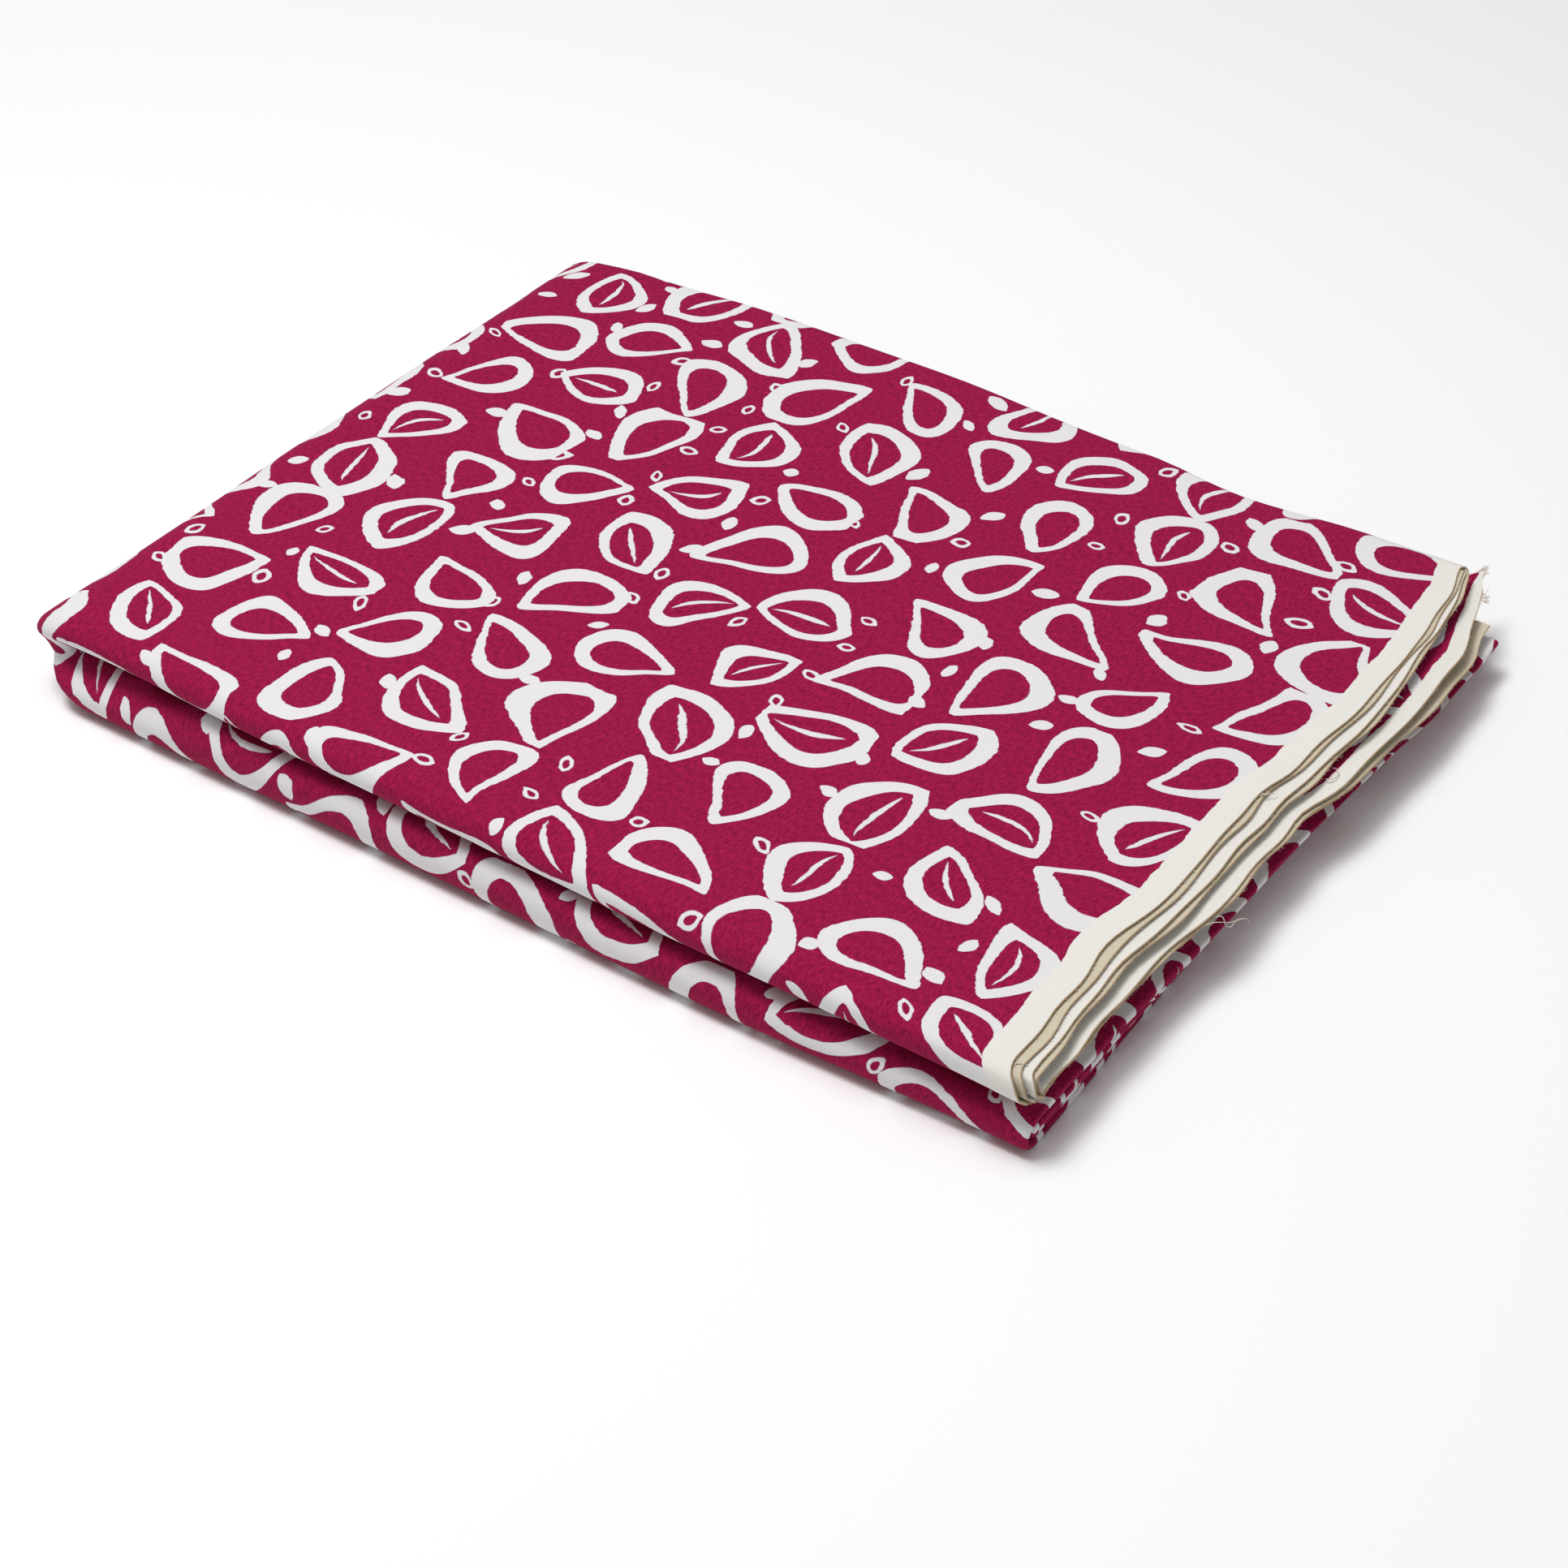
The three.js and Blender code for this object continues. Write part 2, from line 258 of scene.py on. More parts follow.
def respaced(level, heights):
    """Moves ply n of a half from level n to heights[n], and keeps each ply's own thickness."""
    plies = np.arange(8)
    old = np.stack([plies - ply_half, plies + ply_half], 1).ravel()
    new = np.stack([np.array(heights) - ply_half, np.array(heights) + ply_half], 1).ravel()
    below, above = np.minimum(level - old[0], 0), np.maximum(level - old[-1], 0)
    return np.interp(level, old, new) + below + above


def space_plies(x, y, z):
    """Blends the three upper tables along y, and brings all the spacings in towards the right."""
    level = (z - upper_base) / pitch
    front, middle, rear = (respaced(level, row) for row in upper_spacing.values())
    at_front, at_middle, at_rear = upper_spacing
    half_way = front + (middle - front) * smooth(y, at_front, at_middle)
    upper = half_way + (rear - half_way) * smooth(y, at_middle, at_rear)
    low = (z - sheet / 2) / pitch
    lower = respaced(low, lower_spacing)
    moved = np.where(z > groove_middle, upper - level, lower - low)
    return z + pitch * moved * smooth(x, spacing_from, spacing_to)


gapes = [round((row[4] - row[3]) * pitch, 1) for row in upper_spacing.values()]
print("gape between the two groups of plies, front to back:", gapes, "mm")

# %% Settle
ends_x = (-185, 190)
bundle_heights = (34, 30.4)  # at the left and right end, as the next two
groove_heights = (21.3, 14.3)
setbacks = (4, 2)  # of the upper half's front from the lower half's
groove_fall, groove_knee = 2.5, 4  # how late the groove falls, and how softly scales change
left_lean, lean_from = 6, -60  # the top of the last fold stands out over its bottom
setback_from, setback_blend = -40, 3
corner_tuck, tuck_from, tuck_to = 3, 90, 195  # of the lower half at the right front corner
wave_reach, lower_wave = 40, 0.15  # where the wavering starts, and the lower half's share
ripple_size, frill_lift, frill_apart = 0.02, 0.012, 9
frill_from, frill_size = 120, 1.1
nose = {"at": (-186, -140, 25), "reach": 24, "height": 8}
pinch = {"at": (-182, -147, 18), "reach": 16, "height": 5}
mouth = {"at": (-168, -148, 18.5), "reach": 42, "height": 5.5}
low_corner = {"at": (-188, -148, 3), "reach": 30, "height": 11}
droop = {"at": (-190, -150, 24), "reach": 28, "height": 12}
nose_out, pinch_in, mouth_in, corner_in, droop_by = 4.5, 3, 5, 3.5, 3


def nearness(x, y, z, spot):
    """One at a spot, falling as exp(-(sideways / reach)^2 - (up or down / height)^2)."""
    sx, sy, sz = spot["at"]
    aside = ((x - sx) ** 2 + (y - sy) ** 2) / spot["reach"] ** 2
    return np.exp(-aside - ((z - sz) / spot["height"]) ** 2)


def ripples(x, y, z):
    """Soft waves of the plies: sines of x, y and z with crossing directions, from -1 to 1."""
    long = np.sin(x / 41) * np.cos(y / 55)
    short = np.sin(x / 17 + y / 29 + z / 3.1) * np.sin(y / 21 - x / 37 + z / 4.3)
    return 0.6 * long + 0.4 * short


def frill(y, z):
    """The selvages' own waves along y, a little different at each height, from -1 to 1."""
    return 0.45 * np.sin(y / 6.1 + z / 7 + 1.5 * np.sin(y / 19)) + 0.55 * np.sin(y / 10.3 - z / 9)


def settle(x, y, z):
    """Scales each half to its height, then leans and waves the bundle and shapes its corner."""
    z = space_plies(x, y, z)
    along = np.clip((x - ends_x[0]) / (ends_x[1] - ends_x[0]), 0, 1)
    height = bundle_heights[0] + (bundle_heights[1] - bundle_heights[0]) * along
    groove = groove_heights[0] + (groove_heights[1] - groove_heights[0]) * along**groove_fall
    low_scale = groove / groove_middle
    high_scale = (height - groove) / (flat_height - groove_middle)
    knee = (z - groove_middle + np.hypot(z - groove_middle, groove_knee)) / 2
    knee_at_floor = (np.hypot(groove_middle, groove_knee) - groove_middle) / 2
    z = low_scale * z + (high_scale - low_scale) * (knee - knee_at_floor)
    near_edge = smooth(x, frill_from, selvage_x)
    lift = frill_lift * near_edge * frill(y + frill_apart, z)
    z = z * (1 + ripple_size * ripples(x, y, z) + lift)

    left = 1 - smooth(x, ends_x[0], lean_from)
    upper = smooth(z, groove - setback_blend, groove + setback_blend)
    selvage_wave = smooth(x, wave_reach, selvage_x) * (lower_wave + (1 - lower_wave) * upper)
    x_moved = x + left_lean * left * (1 - z / height)
    x_moved = x_moved + selvage_wave * (eased(selvage_line, y) - selvage_x)
    x_moved = x_moved + frill_size * near_edge * upper * frill(y, z)

    setback = setbacks[1] + (setbacks[0] - setbacks[1]) * left
    front = 1 - smooth(y, -back_y, setback_from)
    rear = smooth(y, wave_reach, back_y)
    tuck = corner_tuck * smooth(x, tuck_from, tuck_to) * (1 - upper)
    y_moved = y + front * (setback * upper + tuck) + rear * (eased(back_line, x) - back_y)

    spot = (x_moved, y_moved, z)
    x_moved = x_moved + corner_in * nearness(*spot, low_corner) - nose_out * nearness(*spot, nose)
    y_moved = y_moved + pinch_in * nearness(*spot, pinch) + mouth_in * nearness(*spot, mouth)
    z = z - droop_by * nearness(*spot, droop)
    return x_moved + origin_shift[0], y_moved + origin_shift[1], z


def place(u, v, off):
    """Place in metres of a point of the flat cloth: u and v in mm, off from the sheet's middle."""
    return np.stack(settle(*fold(u, v, off)), -1) / 1000


print("and settles at", place(*middle_of_cloth)[0].round(4), "metres")

# %% [markdown]
# ## The sheet as a mesh
# A grid of u and v lines goes through the fold twice, once for each face of the sheet, and a
# narrow rim joins the two. The lines lie closer round the turns. The flat place of each point
# is kept as its UV, so the print lies on the folded cloth just as it lay on the flat one.

# %% Cloth mesh
weft_counts, weft_steps = (40, 32, 26, 32), (14, 6, 14)
warp_counts, warp_steps = (60, 62, 58, 60), (12, 8, 12)
near_selvage = np.array([1.0, 2.2, 4.0, 6.2])


def grid_lines(starts, run, turns, counts, steps, size):
    """Even lines on each straight run, even steps round each turn, and the far edge."""
    lines = []
    for i, start in enumerate(starts):
        lines.append(np.linspace(start, start + run, counts[i], endpoint=False))
        if i < len(turns):
            around = start + run + np.array([0, turns[i]["length"]])
            lines.append(np.linspace(*around, steps[i], endpoint=False))
    return np.concatenate([*lines, [size]])


weft_turns = [across_turn, doubling, across_turn]
warp_turns = [second_length, first_length, second_length]
u_lines = grid_lines(weft_starts, weft_run, weft_turns, weft_counts, weft_steps, cloth_width)
u_lines = np.sort(np.concatenate([u_lines, near_selvage, cloth_width - near_selvage]))
v_lines = grid_lines(warp_starts, warp_run, warp_turns, warp_counts, warp_steps, cloth_length)


def sheet_faces(columns, rows):
    """Quads of the wrong side, of the printed side turned over, and of the rim between them."""
    n = np.arange(columns * rows).reshape(rows, columns)
    a, b, c, d = n[:-1, :-1], n[:-1, 1:], n[1:, 1:], n[1:, :-1]
    wrong = np.stack([a, b, c, d], -1).reshape(-1, 4)
    printed = np.stack([d, c, b, a], -1).reshape(-1, 4) + n.size
    edge = np.concatenate([
        np.stack([n[0, 1:], n[0, :-1]], -1), np.stack([n[-1, :-1], n[-1, 1:]], -1),
        np.stack([n[:-1, 0], n[1:, 0]], -1), np.stack([n[1:, -1], n[:-1, -1]], -1),
    ])
    rim = np.stack([edge[:, 0], edge[:, 1], edge[:, 1] + n.size, edge[:, 0] + n.size], -1)
    return np.concatenate([wrong, printed, rim]), len(rim)


def new_piece(name, points, faces):
    """An object at the origin whose mesh holds the points, in metres, and the faces."""
    mesh = bpy.data.meshes.new(name)
    mesh.from_pydata(points.tolist(), [], [tuple(face) for face in faces.tolist()])
    mesh.update()
    piece = bpy.data.objects.new(name, mesh)
    bpy.context.collection.objects.link(piece)
    return piece


grid_u, grid_v = np.meshgrid(u_lines, v_lines)
offs = np.array([sheet / 2, -sheet / 2])[:, None, None]
offs = np.broadcast_to(offs, (2, *grid_u.shape))
points = place(grid_u[None], grid_v[None], offs).reshape(-1, 3)
points[:, 2] = np.maximum(points[:, 2], 0)
faces, rim_count = sheet_faces(len(u_lines), len(v_lines))
cloth = new_piece("printed_cloth", points, faces)

flat = np.tile(np.stack([grid_u, grid_v], -1).reshape(-1, 2) / 1000, (2, 1))
uv_map = cloth.data.uv_layers.new(name="flat")
uv_map.data.foreach_set("uv", flat[faces.ravel()].astype(np.float32).ravel())
side = cloth.data.attributes.new("wrong_side", "FLOAT", "POINT")
side.data.foreach_set("value", np.repeat([1.0, 0.0], grid_u.size).astype(np.float32))
smooth_faces = np.arange(len(faces)) < len(faces) - rim_count
cloth.data.polygons.foreach_set("use_smooth", smooth_faces)
edge_of_corner = np.empty(len(cloth.data.loops), np.int32)
cloth.data.loops.foreach_get("edge_index", edge_of_corner)
sharp = np.zeros(len(cloth.data.edges), bool)
sharp[edge_of_corner[-4 * rim_count:]] = True
cloth.data.edges.foreach_set("use_edge_sharp", sharp)
print("cloth has", 2 * len(faces), "triangles")
print("lowest and highest corner", points.min(0).round(4), points.max(0).round(4))

# %% [markdown]
# ## Shader maths
# A pattern is arithmetic on places. Building it from single nodes is slow to read, so one
# small class wraps a node's output, and lets it be added, multiplied and compared in
# ordinary expressions, each of which adds its node to the tree.

# %% Wire class
class Wire:
    """A node's output socket that takes part in Python arithmetic."""

    def __init__(self, tree, socket=None):
        self.tree, self.socket = tree, socket

    def node(self, kind, inputs=None, output=0, **settings):
        """Adds any node: its settings first, then the values or links of its inputs."""
        made = self.tree.nodes.new(kind)
        for name, value in settings.items():
            setattr(made, name, value)
        for key, value in (inputs or {}).items():
            if isinstance(value, Wire):
                self.tree.links.new(value.socket, made.inputs[key])
            else:
                made.inputs[key].default_value = value
        return Wire(self.tree, made.outputs[output]) if made.outputs else made

    def out(self, name):
        """Another output of the same node."""
        return Wire(self.tree, self.socket.node.outputs[name])

    def maths(self, operation, *others):
        """A Math node of this value and the others."""
        return self.node("ShaderNodeMath", dict(enumerate((self, *others))), operation=operation)

    def __add__(self, other):
        return self.maths("ADD", other)

    def __sub__(self, other):
        return self.maths("SUBTRACT", other)

    def __rsub__(self, other):
        return self.node("ShaderNodeMath", {0: other, 1: self}, operation="SUBTRACT")

    def __mul__(self, other):
        return self.maths("MULTIPLY", other)

    def __truediv__(self, other):
        return self.maths("DIVIDE", other)

    def __abs__(self):
        return self.maths("ABSOLUTE")

    __radd__, __rmul__ = __add__, __mul__

    def held(self):
        """The value, held between 0 and 1."""
        return self.node("ShaderNodeClamp", {0: self})

    def vector(self, y, z=0.0):
        """A vector of this value and two others."""
        return self.node("ShaderNodeCombineXYZ", {0: self, 1: y, 2: z})

    def parts(self):
        """The three components of a vector or colour."""
        split = self.node("ShaderNodeSeparateXYZ", {0: self})
        return split, split.out("Y"), split.out("Z")

    def noise(self, scale, detail=2.0):
        """Noise from 0 to 1 at this vector, with `scale` lumps to a metre."""
        return self.node("ShaderNodeTexNoise", {"Vector": self, "Scale": scale, "Detail": detail})

    def mixed(self, colour, other):
        """This share of `other` over `colour`."""
        colours = {0: self, 6: colour, 7: other}
        return self.node("ShaderNodeMix", colours, output=2, data_type="RGBA")


# %% [markdown]
# ## The print
# The cloth is printed all over with off-white outlined drops and leaves, tossed at all angles
# on a half-drop repeat, with small seeds between them. An outline is a shape minus a smaller
# shape inside it, set a little to one side, so that the line is thick on one side and thin on
# the other, as from a brush. The cells of the repeat each have random numbers of their own
# that turn, size and bend the figure in them.

# %% Figures of the print
cell = 0.0355  # metres; the sizes below are in cells
soft_edge = 0.008
toss = 0.09
leaf_long, leaf_wide, leaf_wider = 0.48, 0.305, 0.05
hollow_long, hollow_wide, hollow_wider = 0.345, 0.168, 0.06
vein_long, vein_wide = 0.27, 0.025
seed_long, seed_wide = 0.11, 0.07
hole_long, hole_wide = 0.06, 0.034
print("figures lie about", cell * 1000, "mm apart")


def inside(x, y, long, wide, taper, power):
    """Share of a spot that is inside a leaf.

    With s = x / long, the leaf is where |y| < wide * (1 - s^2)^power * (1 - taper * s).
    """
    s = x / long
    arch = (1 - s * s).maths("MAXIMUM", 0.0).maths("POWER", power)
    beyond = (abs(s) - 1).maths("MAXIMUM", 0.0)
    margin = arch * (1 - s * taper) * wide - abs(y) - beyond * long
    return (margin / soft_edge + 0.5).held()


def repeat(u, v, seeds, rows=1.0):
    """Half-drop repeat: the place in its cell, and three random numbers for each seed."""
    across = u / cell
    column = across.maths("FLOOR")
    down = v * (rows / cell) + column * 0.5
    row = down.maths("FLOOR")
    lots = []
    for seed in seeds:
        which = column.vector(row, seed)
        lots += u.node("ShaderNodeTexWhiteNoise", {"Vector": which}, output="Color").parts()
    return across.maths("FRACT") - 0.5, (down.maths("FRACT") - 0.5) / rows, lots


def turned(x, y, share):
    """The place turned by a share of a whole turn."""
    angle = share * math.tau
    cos, sin = angle.maths("COSINE"), angle.maths("SINE")
    return x * cos + y * sin, y * cos - x * sin


def large_figures(u, v):
    """One outlined figure in each cell, from a round drop to a pointed leaf, which has a vein."""
    x, y, (turn, size, kind, bend, aside, along) = repeat(u, v, (3.0, 14.0))
    x, y = turned(x + (aside - 0.5) * toss, y + (along - 0.5) * toss, turn)
    grow = 1.08 - size * 0.24
    x, y = x * grow, y * grow
    bent = y - (x * x * 4 - 0.25) * (bend - 0.5) * 0.5
    power, taper = kind * 0.42 + 0.5, 0.62 - kind * 0.62
    thick_side = (bend - 0.5).maths("SIGN") * 0.04
    wide, narrow = kind * leaf_wider + leaf_wide, kind * hollow_wider + hollow_wide
    outer = inside(x, bent, leaf_long, wide, taper, power)
    inner = inside(x - 0.015, bent - thick_side, hollow_long, narrow, taper, power)
    vein = inside(x - 0.03, bent - thick_side, vein_long, vein_wide, 0.3, 0.8)
    return (outer * (1 - inner) + kind.maths("GREATER_THAN", 0.5) * vein).held()


def small_figures(u, v):
    """Seeds between the large figures, some of them hollow, with a few left out."""
    x, y, (turn, size, kind, some, _, _) = repeat(u + cell / 2, v, (8.0, 21.0), 2.0)
    x, y = turned(x, y, turn)
    grow = 1.25 - size * 0.4
    x, y = x * grow, y * grow
    seed = inside(x, y, seed_long, seed_wide, 0.0, 0.8)
    hole = inside(x - 0.006, y, hole_long, hole_wide, 0.0, 0.6)
    return seed * (1 - hole * kind.maths("GREATER_THAN", 0.55)) * some.maths("GREATER_THAN", 0.3)


# %% [markdown]
# ## Cotton
# Cotton cloth is matt. Its colour isn't one flat red: single yarns are a little darker or
# lighter, in short streaks along the warp and along the fine twill line that crosses it, and
# the ink is a little deeper where it ends at a figure. The ink is also darker in the low
# grooves of the weave, which is painted shade. The print stops short of the selvages, where
# the cream cloth shows, and a thin tan line along each selvage's edge is painted shade for the
# dark lines between the plies. The wrong side is a khaki cream, darkened as painted shade for
# the inside of the folds, with only a hint of the print. All of it is read from the flat place
# of the cloth.

# %% Cotton material
raspberry = (0.395, 0.0085, 0.076, 1)
deep_raspberry = (0.200, 0.0028, 0.036, 1)
off_white = (0.755, 0.735, 0.740, 1)
cream = (0.79, 0.765, 0.715, 1)
# Wrong side's cream, darkened to khaki as painted shade for the inside of the folds.
wrong_cream_painted_shade = (0.63, 0.555, 0.425, 1)
# Tan of each selvage's outer edge: painted shade for the dark lines between the plies.
edge_tan_painted_shade = (0.46, 0.34, 0.21, 1)
yarn_cream = (0.72, 0.66, 0.56, 1)
selvage_band, print_askew, askew_about = 0.0084, 0.0045, 0.45
drift_size, ragged_size = 0.009, 0.0022
waver_weft, waver_warp, waver_band = 0.0012, 0.0008, 0.0006
# The first is the width of the tan painted shade along each selvage edge.
edge_shade_width, line_soft = 0.00028, 0.0002
yarn_pitch, twill_pitch = 0.00046, 0.00078
yarn_relief, streak_relief = 0.00006, 0.00012
show_through = 0.07


def print_cover(u, v, from_selvage):
    """Where figures are, and where the printed part is: all but the bands at the selvages."""
    spot = u.vector(v)
    drift_u, drift_v, _ = spot.noise(34.0, 1.0).out("Color").parts()
    fine = spot.noise(420.0, 2.0)
    wu = u + (drift_u - 0.5) * drift_size + (fine - 0.5) * waver_weft
    wv = v + (drift_v - 0.5) * drift_size - (fine - 0.5) * waver_warp
    figures = (large_figures(wu, wv) + small_figures(wu, wv)).held()
    ragged = (spot.noise(90.0, 3.0) - 0.5) * ragged_size + (fine - 0.5) * waver_band
    side = u.maths("LESS_THAN", cloth_width / 2000) * 2 - 1
    band = (askew_about - v) * side * print_askew + selvage_band
    inked = ((from_selvage - band + ragged) / line_soft + 0.5).held()
    return figures, inked


def weave(u, v):
    """Height of the yarns from 0 to 1: diagonal twill lines, broken up by ribs along the warp."""
    warp = (u * (math.tau / yarn_pitch)).maths("SINE")
    twill = ((u * 0.9 + v * 0.45) * (math.tau / twill_pitch)).maths("SINE")
    return warp * 0.15 + twill * 0.35 + 0.5


def streaks(u, v):
    """Streaks of single yarns: noise drawn out along the twill line, and along the warp."""
    along_twill = ((u * 2 + v) * 900).vector((v * 2 - u) * 190).noise(1.0, 2.0)
    along_warp = (u * 1300).vector(v * 420, 5.0).noise(1.0, 2.0)
    return (along_twill + along_warp) * 0.5


cotton = bpy.data.materials.new("printed_cotton")
cotton.use_nodes = True
tree = cotton.node_tree
tree.nodes.clear()
start = Wire(tree)
u, v, _ = start.node("ShaderNodeUVMap", uv_map="flat").parts()
wrong_side = start.node("ShaderNodeAttribute", output="Fac", attribute_name="wrong_side")
from_selvage = u.maths("MINIMUM", cloth_width / 1000 - u)
figures, inked = print_cover(u, v, from_selvage)
yarn = streaks(u, v)
relief = weave(u, v)
rim_of_ink = figures * (1 - figures) * 3
# The ink is deeper in the low grooves of the weave: painted shade. Its streaks and the deeper rim
# of each figure are the print's own.
ink_depth_and_groove_shade = ((yarn - 0.5) * 3.8 + (0.5 - relief) * 0.8 + rim_of_ink + 0.5).held()
ink = ink_depth_and_groove_shade.mixed(raspberry, deep_raspberry)
face = inked.mixed(cream, figures.mixed(ink, off_white))
# The wrong side: khaki cream as painted shade, with a hint of the print showing through.
wrong_face_painted_shade = (inked * (1 - figures) * show_through).mixed(wrong_cream_painted_shade, raspberry)
colour = wrong_side.maths("GREATER_THAN", 0.5).mixed(face, wrong_face_painted_shade)
# A thin tan line at each selvage edge: painted shade between the plies.
edge_shade_mask = ((edge_shade_width - from_selvage) / line_soft + 0.5).held()
colour = edge_shade_mask.mixed(colour, edge_tan_painted_shade)
shade = 1.06 - yarn * 0.12
colour = colour.node("ShaderNodeVectorMath", {0: colour, "Scale": shade}, operation="SCALE")
height = relief * yarn_relief + yarn * streak_relief
bump = start.node("ShaderNodeBump", {"Height": height, "Distance": 1.0, "Strength": 0.7})
surface = start.node(
    "ShaderNodeBsdfPrincipled",
    {
        "Base Color": colour, "Roughness": 0.92, "Normal": bump,
        "Specular IOR Level": 0.12, "Sheen Weight": 0.02, "Sheen Roughness": 0.5,
    },
)
start.node("ShaderNodeOutputMaterial", {"Surface": surface})
cloth.data.materials.append(cotton)
print("cotton material has", len(tree.nodes), "nodes")

# %% Join the cloth to the frame
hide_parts("cloth")
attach(cloth, "root")
print(cloth.name, "stands for the solid, cut to", cloth_width, "by", cloth_length, "mm")

# %% [markdown]
# ## Loose yarns
# A cut end frays: single yarns stand out of it by a millimetre or two, bent by handling. A
# selvage doesn't fray, and carries only short fuzz. Each yarn is a thin closed tube swept
# along a bent path. The short ones start on the flat cloth just inside its edge and go through
# the same fold as the cloth, so they stay with their ply.

# %% Tubes along paths
yarn_material = bpy.data.materials.new("loose_yarn")
yarn_material.use_nodes = True
yarn_material.node_tree.nodes.clear()
start = Wire(yarn_material.node_tree)
tone = start.node("ShaderNodeAttribute", output="Fac", attribute_name="tone")
yarn_surface = start.node(
    "ShaderNodeBsdfPrincipled",
    {
        "Base Color": tone.mixed(yarn_cream, raspberry),
        "Roughness": 0.95, "Specular IOR Level": 0.1,
    },
)
start.node("ShaderNodeOutputMaterial", {"Surface": yarn_surface})


def tubes(name, paths, radius, tones, sides=4):
    """One piece of closed tubes along paths (yarns, points, 3) in metres, half as thick at the end.

    A ring of points lies round each place: radius * (across * cos a + other * sin a).
    """
    along = np.gradient(paths, axis=1)
    along = along / np.linalg.norm(along, axis=-1, keepdims=True)
    across = np.cross(along, np.array((0.31, 0.17, 0.93)))
    across = across / np.linalg.norm(across, axis=-1, keepdims=True)
    other = np.cross(along, across)
    angle = (np.arange(sides) * math.tau / sides)[:, None]
    ring = across[:, :, None] * np.cos(angle) + other[:, :, None] * np.sin(angle)
    taper = np.linspace(1, 0.5, paths.shape[1])[:, None, None]
    points = paths[:, :, None] + ring * taper * radius
    n = np.arange(points.size // 3).reshape(points.shape[:3])
    a, b = n[:, :-1], n[:, 1:]
    around = np.stack([a, np.roll(a, -1, 2), np.roll(b, -1, 2), b], -1).reshape(-1, 4)
    faces = np.concatenate([around, n[:, 0, ::-1], n[:, -1]])
    points = points.reshape(-1, 3)
    points[:, 2] = np.maximum(points[:, 2], 0)
    piece = new_piece(name, points, faces)
    piece.data.polygons.foreach_set("use_smooth", np.ones(len(faces), bool))
    shade = piece.data.attributes.new("tone", "FLOAT", "POINT")
    shade.data.foreach_set("value", np.repeat(tones, n[0].size).astype(np.float32))
    piece.data.materials.append(yarn_material)
    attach(piece, "root")
    print(name, "has", len(paths), "yarns and", 2 * len(faces), "triangles")


# %% Fringe and fuzz
lots = np.random.default_rng(23)
steps = np.linspace(0, 1, 5)
end_hold, selvage_hold = 0.4, 0.3  # how far inside the edge a yarn starts, in mm
fringe_count, fuzz_count = 1400, 1000  # at each end, and at each selvage
fringe_radius, fuzz_radius, brush_radius, thread_radius = 0.00009, 0.00005, 0.00013, 0.0002


def drawn_out(count, shortest, longest, sway):
    """How far yarns have come out past an edge along their length, aside and up, in mm."""
    out = lots.uniform(shortest, longest, (count, 1)) * steps
    aside = lots.normal(0, sway, (count, 1)) * steps**1.5
    lift = lots.normal(0, sway * 0.6, (count, 1)) * steps**2
    return out, aside, lift


def end_yarns(count, reach, sway, span, at_far_end):
    """Yarns out of a raw end, spread over a span of u."""
    out, aside, lift = drawn_out(count, *reach, sway)
    across = lots.uniform(*span, (count, 1)) + aside
    down = cloth_length - end_hold + out if at_far_end else end_hold - out
    return place(across, down, lift)


def selvage_yarns(count, reach, sway, span, at_far_side):
    """Yarns out of a selvage, spread over a span of v."""
    out, aside, lift = drawn_out(count, *reach, sway)
    down = lots.uniform(*span, (count, 1)) + aside
    across = cloth_width - selvage_hold + out if at_far_side else selvage_hold - out
    return place(across, down, lift)


fringe = np.concatenate([
    end_yarns(fringe_count, (0.5, 2.4), 0.7, (1, cloth_width - 1), far_end)
    for far_end in (False, True)
])
tubes("raw_end_fringe", fringe, fringe_radius, lots.uniform(0, 0.7, len(fringe)))
fuzz = np.concatenate([
    selvage_yarns(fuzz_count, (0.4, 1.2), 0.5, (0, cloth_length), far_side)
    for far_side in (False, True)
])
tubes("selvage_fuzz", fuzz, fuzz_radius, lots.uniform(0, 0.1, len(fuzz)))
brush = np.concatenate([
    end_yarns(22, (2.5, 5), 0.9, (3, 6), True),
    selvage_yarns(16, (2, 3.6), 0.9, (cloth_length - 6, cloth_length - 2), False),
])
tubes("torn_corner_brush", brush, brush_radius, lots.uniform(0, 0.15, len(brush)))

# %% [markdown]
# ## Threads that hang
# A few longer threads have worked loose at the selvages: one hangs in a curl from the middle of
# the right side, and others lie in small arcs over the edges. Each runs in a smooth curve
# through a few places.

# %% Long threads
thread_places = [  # millimetres in the part's frame
    [(188.4, -52.8, 22.2), (189.8, -50.3, 22.1), (191.1, -47.8, 21), (192.3, -44.2, 19),
     (193, -39.7, 17.5), (193.9, -37, 16), (194.7, -36.9, 15)],
    [(189.6, -48.9, 23), (190.6, -47.9, 23.2), (191.5, -47.7, 22.5), (192.1, -47.5, 20.5),
     (193, -45.6, 18.5), (192.8, -42.2, 18), (193.6, -37.6, 16.5)],
    [(177.7, -140.6, 29.6), (177.6, -140.2, 30), (178.2, -139.7, 30.2), (179.1, -139.1, 29.9),
     (179.9, -138.2, 29.4), (180.6, -138.1, 28.6), (181, -138.3, 27.5)],
    [(177.1, 0, 29.3), (177.3, 1.5, 29.8), (178.3, 1.6, 29.6), (178.5, 3.1, 29.6),
     (179.8, 3.3, 29.3), (180, 4.5, 29.2), (180.7, 4.7, 29)],
    [(187.2, 24.2, 25), (188.4, 25.3, 24.6), (189, 27.4, 24.5), (188.7, 29.6, 24.5),
     (187.6, 30.8, 24.6), (186.6, 30.7, 24.8), (186.3, 29.9, 25)],
]


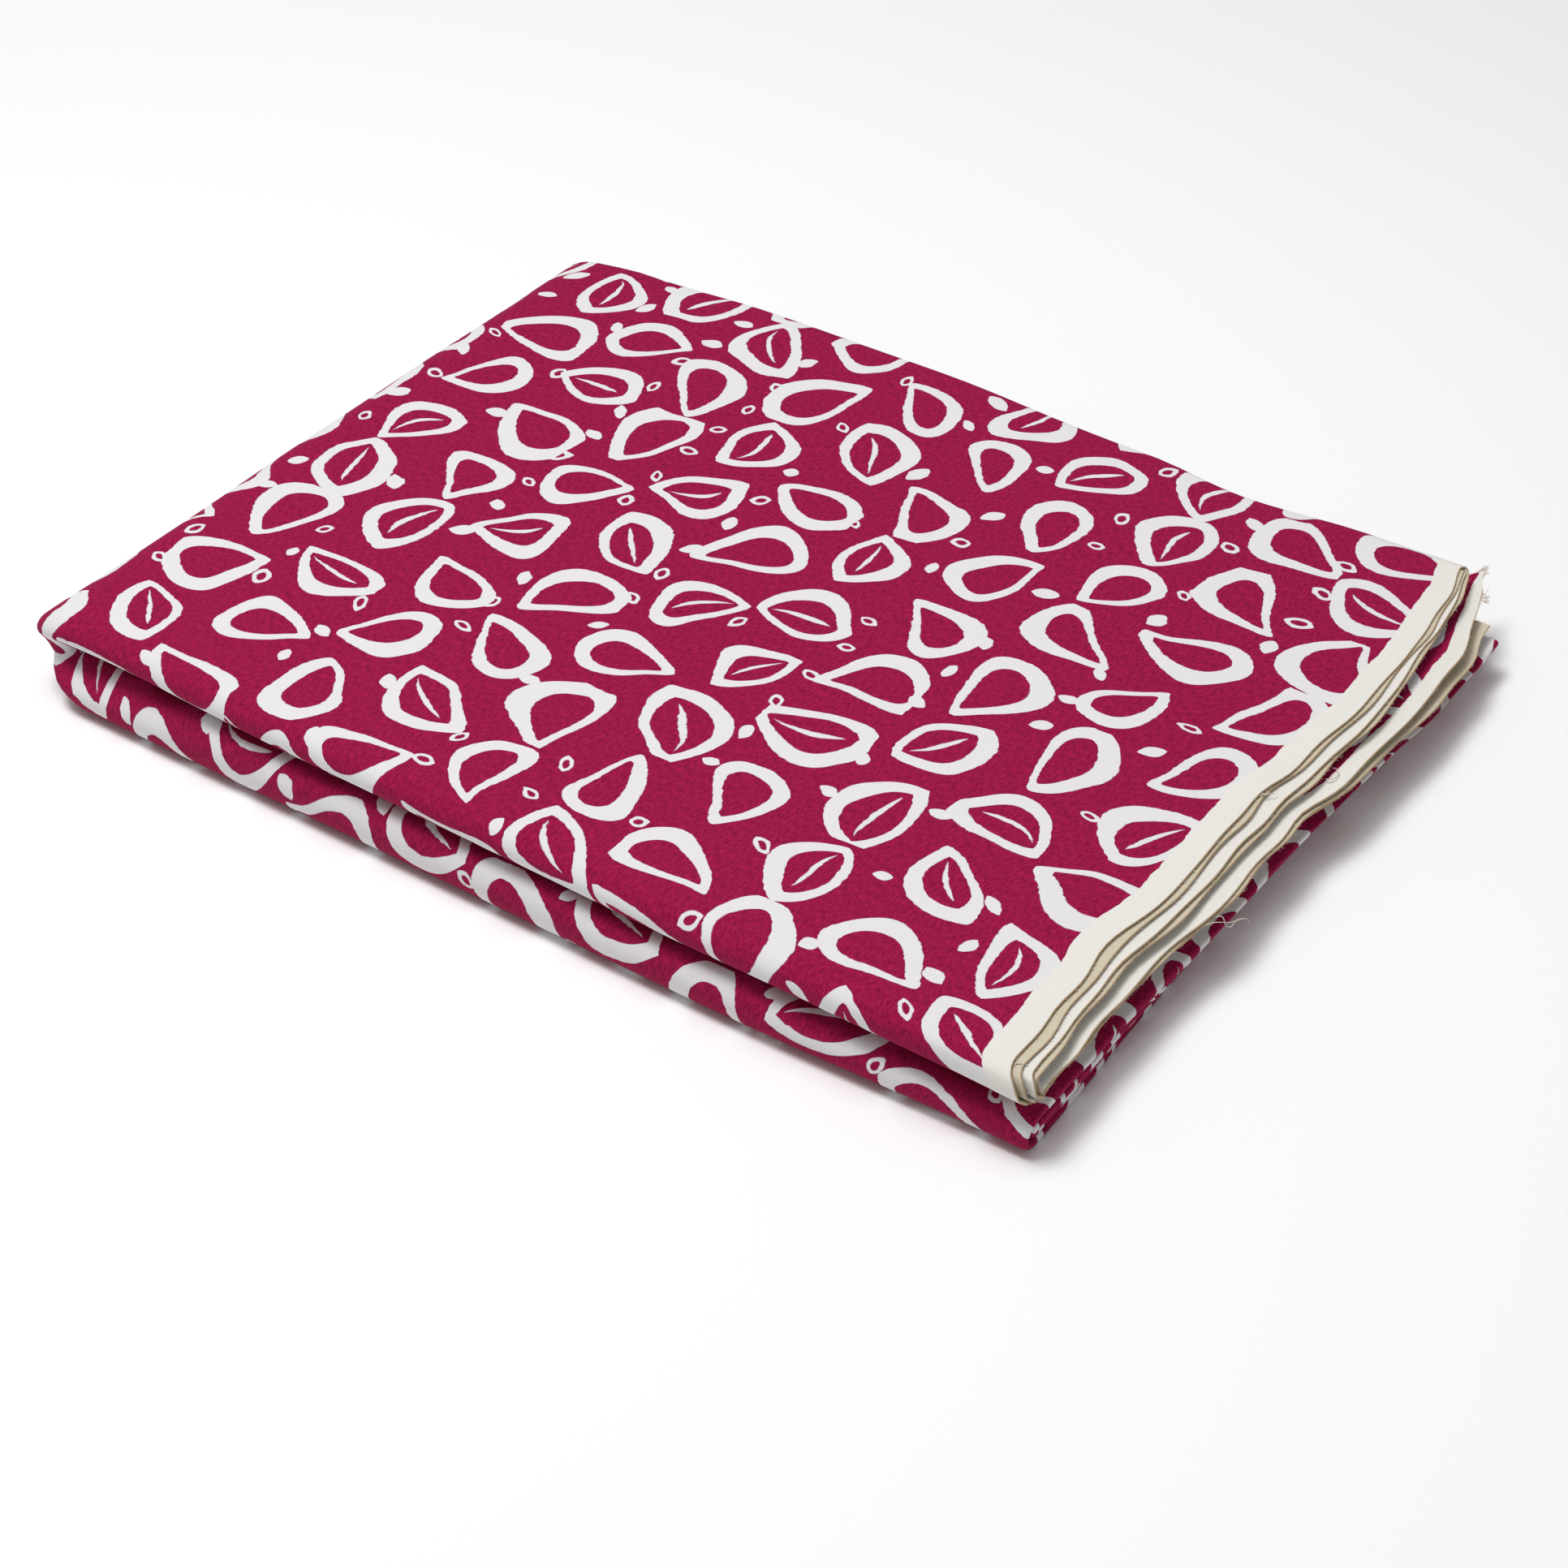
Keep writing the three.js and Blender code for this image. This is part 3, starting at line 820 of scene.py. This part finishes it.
def curves_through(places, between):
    """Catmull-Rom curves: from each place to the next, with slopes that suit its neighbours."""
    first, last = 2 * places[:, :1] - places[:, 1:2], 2 * places[:, -1:] - places[:, -2:-1]
    p = np.concatenate([first, places, last], 1)
    before, here, there, after = (p[:, i:i + places.shape[1] - 1, None] for i in range(4))
    t = np.linspace(0, 1, between, endpoint=False)[:, None]
    bend = (2 * before - 5 * here + 4 * there - after) * t**2
    turn = (3 * here - before - 3 * there + after) * t**3
    curve = (2 * here + (there - before) * t + bend + turn) / 2
    return np.concatenate([curve.reshape(len(p), -1, 3), places[:, -1:]], 1)


threads = curves_through(np.array(thread_places, float), 5) / 1000
tubes("long_threads", threads, thread_radius, np.zeros(len(threads)))

# %% [markdown]
# ## Floor and light
# The bundle lies on a white studio table, in soft light. Two wide lamps hang overhead, a
# little to the left and front, so the short shadow falls to the right, and the room's own
# light fills the rest.

# %% Floor
def plain_material(name, colour, roughness):
    """A matt surface of one colour, with very faint mottling."""
    made = bpy.data.materials.new(name)
    made.use_nodes = True
    made.node_tree.nodes.clear()
    start = Wire(made.node_tree)
    spot = start.node("ShaderNodeTexCoord", output="Object")
    mottle = spot.noise(9.0, 2.0) * 0.02
    tint = mottle.mixed(colour, (0.8, 0.8, 0.8, 1))
    shader = start.node("ShaderNodeBsdfPrincipled", {"Base Color": tint, "Roughness": roughness})
    start.node("ShaderNodeOutputMaterial", {"Surface": shader})
    return made


floor_half, floor_drop = 6.0, 0.0002
floor_white = (0.955, 0.955, 0.955, 1)
floor_points = np.array([(-1, -1, 0), (1, -1, 0), (1, 1, 0), (-1, 1, 0)]) * floor_half
floor = new_piece("floor", floor_points - (0, 0, floor_drop), np.array([(0, 1, 2, 3)]))
floor.data.materials.append(plain_material("floor_white", floor_white, 0.9))
print("floor is", 2 * floor_half, "m wide")

# %% Light
world = bpy.data.worlds.new("studio")
world.use_nodes = True
world.node_tree.nodes["Background"].inputs["Color"].default_value = (1.0, 1.0, 1.0, 1)
world.node_tree.nodes["Background"].inputs["Strength"].default_value = 0.30
bpy.context.scene.world = world


def soft_lamp(name, place, aim, size, power):
    """A square area lamp at `place` that faces `aim`."""
    data = bpy.data.lights.new(name, "AREA")
    data.shape, data.size, data.energy = "SQUARE", size, power
    lamp = bpy.data.objects.new(name, data)
    bpy.context.collection.objects.link(lamp)
    lamp.location = place
    lamp.rotation_euler = (Vector(aim) - Vector(place)).to_track_quat("-Z", "Y").to_euler()
    print(name, "lamp of", power, "W at", place)


soft_lamp("key", (-0.38, -0.32, 1.8), (0, 0, 0), 0.55, 17)
soft_lamp("overhead", (-0.22, -0.18, 1.7), (0, 0, 0), 1.1, 10.5)
bpy.context.scene.view_settings.view_transform = "Standard"
